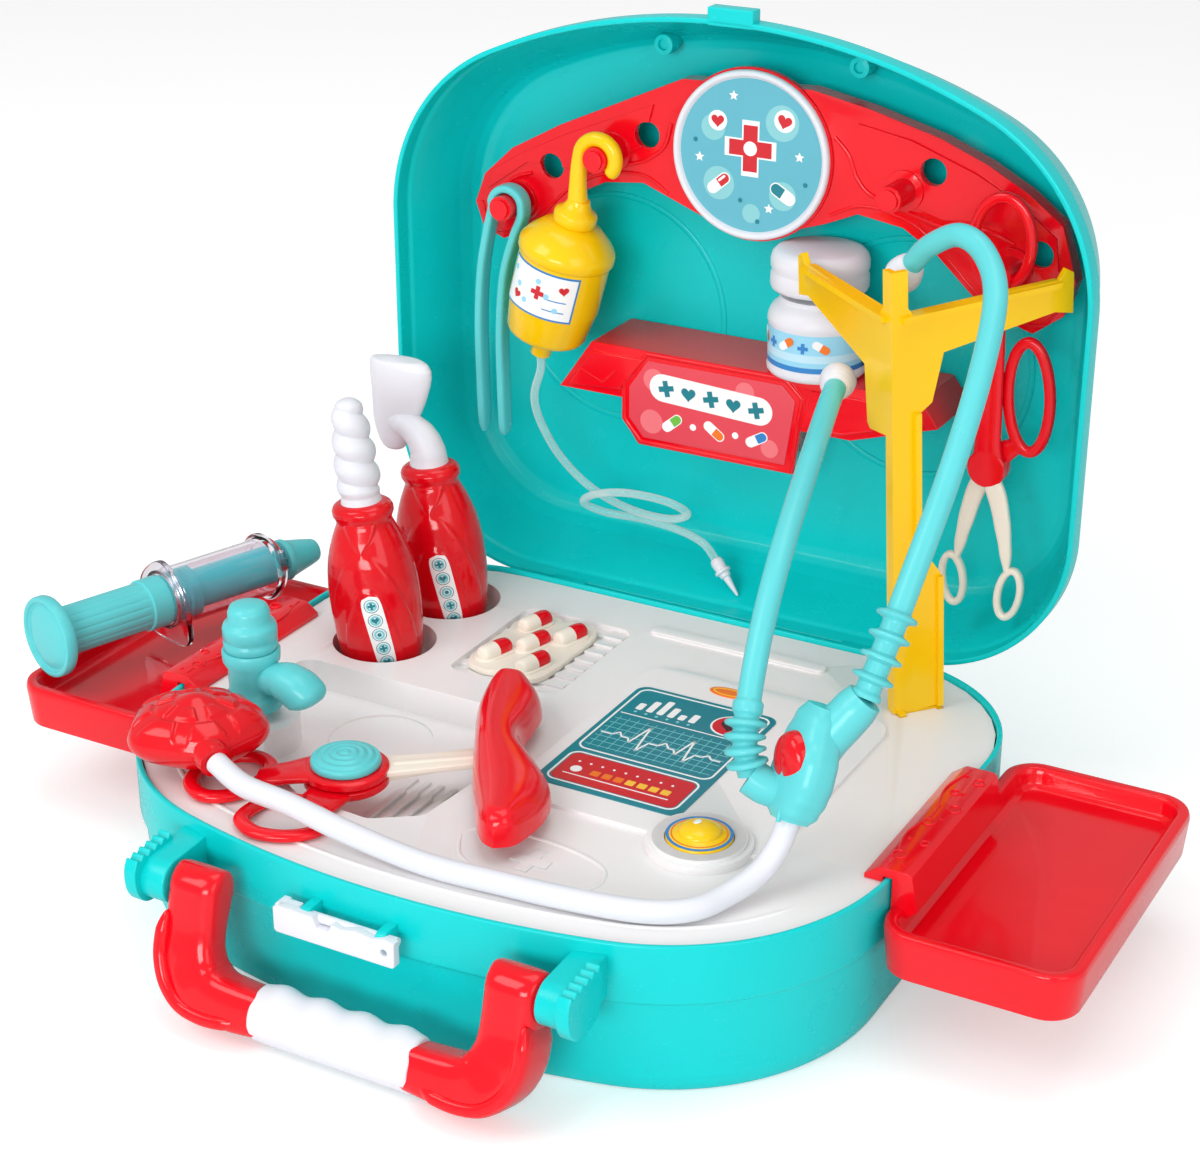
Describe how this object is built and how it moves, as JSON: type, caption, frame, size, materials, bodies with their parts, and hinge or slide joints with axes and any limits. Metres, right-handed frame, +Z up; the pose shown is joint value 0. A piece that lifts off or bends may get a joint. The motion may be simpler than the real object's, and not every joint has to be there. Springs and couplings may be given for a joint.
{
  "type": "toy doctor case",
  "caption": "Open toy doctor carry case with a play deck, side trays, drip stand, hanger rack and medicine shelf in the lid, and toy instruments in their places.",
  "frame": {"origin": "middle of the underside of the base, on the table", "axes": "+X to the right tray, +Y to the hinge and the lid, +Z up"},
  "size_m": [0.4677, 0.3476, 0.3201],
  "materials": {
    "shell_teal": "smooth",
    "deck_white": "smooth",
    "screw_steel": "satin",
    "printed_label": "printed",
    "button_yellow": "smooth",
    "spring_steel": "satin",
    "red_gloss": "glossy",
    "white_soft": "smooth",
    "yellow_gloss": "glossy",
    "aqua": "smooth",
    "clear_plastic": "clear",
    "cream": "smooth"
  },
  "bodies": {
    "base": {"base_shell": "shell_teal", "deck_panel": "deck_white", "deck_screws": "screw_steel", "monitor_label": "printed_label", "button_spring": "spring_steel", "scissor_half_low": "red_gloss", "scissor_blades_low": "cream", "scissor_cap": "aqua"},
    "button": {"press_button": "button_yellow"},
    "handle": {"handle_frame": "red_gloss", "handle_grip": "white_soft"},
    "latch": {"front_latch": "deck_white"},
    "right_tray": {"right_tray": "red_gloss"},
    "left_tray": {"left_tray": "red_gloss"},
    "tap": {"tap_body": "aqua"},
    "tap_knob": {"tap_knob": "aqua"},
    "stand": {"iv_stand": "yellow_gloss"},
    "stethoscope": {"steth_yoke": "aqua", "yoke_button": "red_gloss", "left_ear_tube": "aqua", "right_ear_tube": "aqua", "left_ear_tip": "white_soft", "right_ear_tip": "white_soft", "steth_hose": "white_soft", "chestpiece": "red_gloss"},
    "lid": {"lid_shell": "shell_teal", "hanger_rack": "red_gloss", "rack_badge": "printed_label", "medicine_shelf": "red_gloss", "shelf_plaque": "printed_label", "lid_screws": "screw_steel"},
    "drip": {"iv_bottle": "yellow_gloss", "iv_hook_cap": "yellow_gloss", "drip_tube": "clear_plastic", "drip_needle": "white_soft"},
    "tweezers": {"tweezers": "aqua"},
    "pill_bottle": {"pill_bottle": "white_soft"},
    "pill_cap": {"pill_bottle_cap": "white_soft"},
    "forceps_hung": {"forceps_left": "red_gloss", "forceps_pivot": "cream"},
    "forceps_free": {"forceps_right": "red_gloss"},
    "drill": {"drill_handle": "red_gloss", "drill_tip": "cream"},
    "mirror": {"mirror_handle": "red_gloss", "mirror_head": "cream"},
    "pill_board": {"pill_board": "cream", "pills": "red_gloss"},
    "scissor_top": {"scissor_half_top": "red_gloss", "scissor_blades_top": "cream"},
    "kidney_dish": {"kidney_dish": "red_gloss"},
    "syringe": {"syringe_barrel": "clear_plastic", "syringe_nozzle": "aqua"},
    "plunger": {"syringe_plunger": "aqua"}
  },
  "joints": [
    {"name": "lid_hinge", "type": "hinge", "parent": "base", "child": "lid", "pos_m": [0, 0.1305, 0.0572], "axis": [1, 0, 0], "range_deg": [-7, 0]},
    {"name": "handle_pivot", "type": "hinge", "parent": "base", "child": "handle", "pos_m": [0, -0.139, 0.048], "axis": [-1, 0, 0], "range_deg": [0, 88]},
    {"name": "latch_pivot", "type": "hinge", "parent": "base", "child": "latch", "pos_m": [0, -0.136, 0.049], "axis": [-1, 0, 0], "range_deg": [0, 100]},
    {"name": "right_tray_lift", "type": "slide", "parent": "base", "child": "right_tray", "axis": [0, 0, 1], "range_m": [0, 0.03]},
    {"name": "left_tray_lift", "type": "slide", "parent": "base", "child": "left_tray", "axis": [0, 0, 1], "range_m": [0, 0.03]},
    {"name": "tap_swivel", "type": "hinge", "parent": "base", "child": "tap", "pos_m": [-0.116, -0.038, 0.07], "axis": [0, 0, 1], "range_deg": [-8, 70]},
    {"name": "knob_turn", "type": "hinge", "parent": "tap", "child": "tap_knob", "pos_m": [-0.116, -0.038, 0.1], "axis": [0, 0, 1], "range_deg": [0, 180]},
    {"name": "button_press", "type": "slide", "parent": "base", "child": "button", "axis": [0, 0, -1], "range_m": [0, 0.002], "stiffness_N_per_m": 300, "deforming": ["button_spring"]},
    {"name": "stand_lift", "type": "slide", "parent": "base", "child": "stand", "axis": [0, 0, 1], "range_m": [0, 0.008]},
    {"name": "stethoscope_lift", "type": "slide", "parent": "stand", "child": "stethoscope", "axis": [0, 0, 1], "range_m": [0, 0.004]},
    {"name": "drip_slide", "type": "slide", "parent": "lid", "child": "drip", "axis": [0, -1, 0], "range_m": [0, 0.012]},
    {"name": "tweezers_swing", "type": "hinge", "parent": "lid", "child": "tweezers", "pos_m": [-0.108, 0.15, 0.2227], "axis": [0, 1, 0], "range_deg": [0, 10]},
    {"name": "pill_bottle_slide", "type": "slide", "parent": "lid", "child": "pill_bottle", "axis": [1, 0, 0], "range_m": [0, 0.018]},
    {"name": "cap_turn", "type": "hinge", "parent": "pill_bottle", "child": "pill_cap", "pos_m": [0.036, 0.157, 0.21], "axis": [0, 0, 1], "range_deg": [0, 180]},
    {"name": "forceps_swing", "type": "hinge", "parent": "lid", "child": "forceps_hung", "pos_m": [0.117, 0.146, 0.2257], "axis": [0, 1, 0], "range_deg": [-1, 4]},
    {"name": "forceps_open", "type": "hinge", "parent": "forceps_hung", "child": "forceps_free", "pos_m": [0.117, 0.148, 0.146], "axis": [0, 1, 0], "range_deg": [0, 6]},
    {"name": "drill_lift", "type": "slide", "parent": "base", "child": "drill", "axis": [0, 0, 1], "range_m": [0, 0.06]},
    {"name": "mirror_lift", "type": "slide", "parent": "base", "child": "mirror", "axis": [0, 0, 1], "range_m": [0, 0.06]},
    {"name": "pill_board_lift", "type": "slide", "parent": "base", "child": "pill_board", "axis": [0, 0, 1], "range_m": [0, 0.02]},
    {"name": "scissors_open", "type": "hinge", "parent": "base", "child": "scissor_top", "pos_m": [-0.052, -0.067, 0.062], "axis": [0, 0, -1], "range_deg": [0, 10]},
    {"name": "dish_lift", "type": "slide", "parent": "base", "child": "kidney_dish", "axis": [0, 0, 1], "range_m": [0, 0.04]},
    {"name": "syringe_lift", "type": "slide", "parent": "left_tray", "child": "syringe", "axis": [0, 0, 1], "range_m": [0, 0.03]},
    {"name": "plunger_slide", "type": "slide", "parent": "syringe", "child": "plunger", "axis": [0.3076, 0.9514, -0.0129], "range_m": [0, 0.038]}
  ]
}
